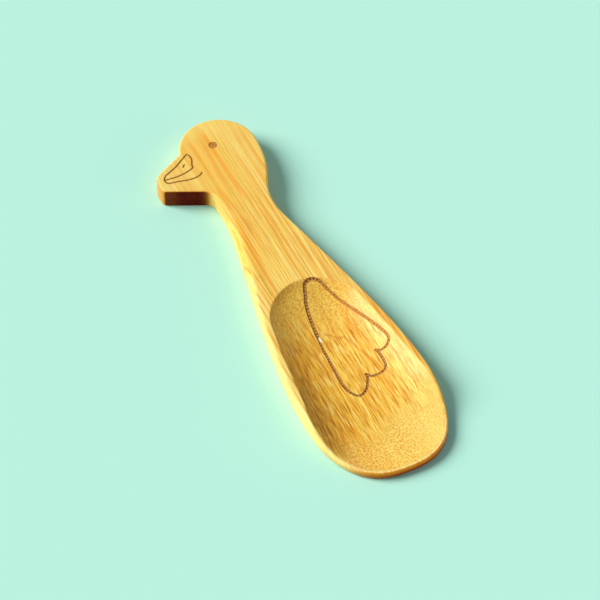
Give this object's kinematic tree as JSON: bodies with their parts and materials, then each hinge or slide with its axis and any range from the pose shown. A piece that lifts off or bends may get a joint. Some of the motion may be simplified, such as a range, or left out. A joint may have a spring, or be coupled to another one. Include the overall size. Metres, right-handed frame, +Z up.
{
  "type": "bamboo spoon",
  "caption": "Flat scoop spoon of laminated bamboo. Its handle ends in a duck's head in profile, and its shallow bowl, thin at the tip, scoops dry food.",
  "frame": {"origin": "middle of the spoon's box, on its flat underside", "axes": "+Y along the spoon from the bowl's tip to the duck's head, +Z up out of the bowl, and the beak points to -X"},
  "size_m": [0.0338, 0.119, 0.0054],
  "materials": {
    "strip_1": "straight-grained bamboo under satin clear lacquer",
    "strip_2": "straight-grained bamboo under satin clear lacquer",
    "strip_3": "straight-grained bamboo under satin clear lacquer",
    "strip_4": "straight-grained bamboo under satin clear lacquer",
    "strip_5": "straight-grained bamboo under satin clear lacquer",
    "strip_6": "straight-grained bamboo under satin clear lacquer",
    "strip_7": "straight-grained bamboo under satin clear lacquer",
    "strip_8": "straight-grained bamboo under satin clear lacquer"
  },
  "bodies": {
    "root": {"strip_1_beak_tip": "strip_1", "strip_1_left_rim": "strip_1", "strip_2_beak_root": "strip_2", "strip_2_left_wall": "strip_2", "strip_3_chin": "strip_3", "strip_4_brow": "strip_4", "strip_5_eye": "strip_5", "strip_6_nape": "strip_6", "strip_7_back_of_head": "strip_7", "strip_7_right_wall": "strip_7", "strip_8_right_rim": "strip_8"}
  },
  "joints": []
}
